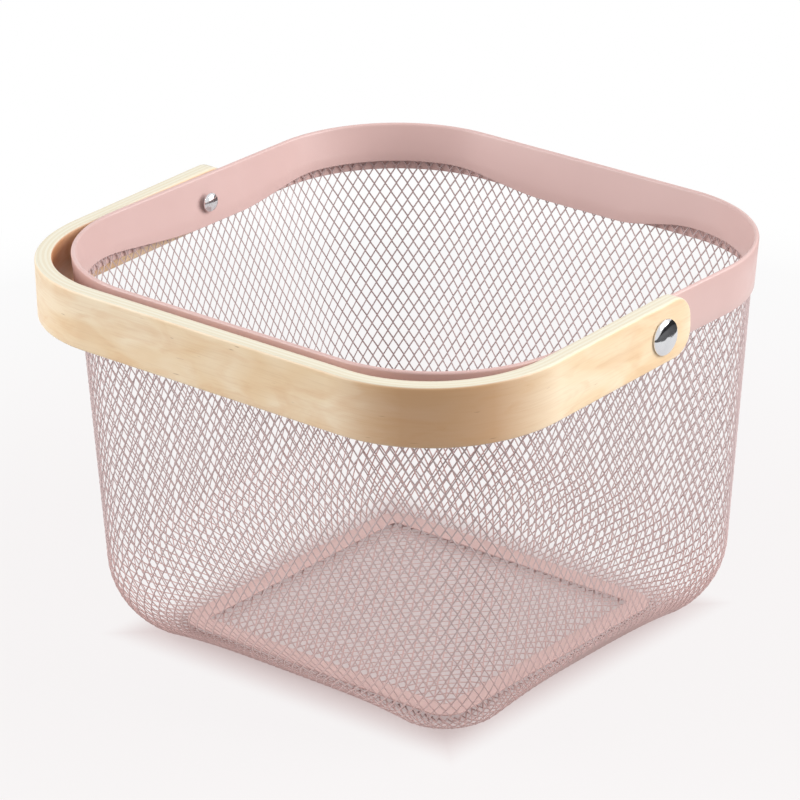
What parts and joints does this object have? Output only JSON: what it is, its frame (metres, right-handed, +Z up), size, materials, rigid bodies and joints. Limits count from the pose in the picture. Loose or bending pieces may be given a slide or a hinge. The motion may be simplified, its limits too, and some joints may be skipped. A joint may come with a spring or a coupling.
{
  "type": "fruit colander",
  "caption": "Square mesh fruit colander with a folded steel rim, a flat ring in its bottom and a bent wooden handle that swings over the top.",
  "frame": {"origin": "on the ground under the middle of the whole outline, with the handle folded down round the rim", "axes": "+X along the handle's pivot axis, -Y towards the folded handle's bar, +Z up"},
  "size_m": [0.2678, 0.2512, 0.1803],
  "materials": {
    "pink_powder_coat": "satin powder coat",
    "birch": "clear satin lacquer",
    "chrome_plate": "polished"
  },
  "bodies": {
    "basket": {"wall_mesh": "pink_powder_coat", "floor_mesh": "pink_powder_coat", "base_ring": "pink_powder_coat", "rim": "pink_powder_coat", "rivet_right": "chrome_plate", "rivet_left": "chrome_plate", "rivet_cap_right": "chrome_plate", "rivet_cap_left": "chrome_plate"},
    "handle": {"handle": "birch"}
  },
  "joints": [
    {"name": "handle_pivot", "type": "hinge", "parent": "basket", "child": "handle", "pos_m": [0, 0.00613, 0.1662], "axis": [-1, 0, 0], "range_deg": [-16, 198.6]}
  ]
}
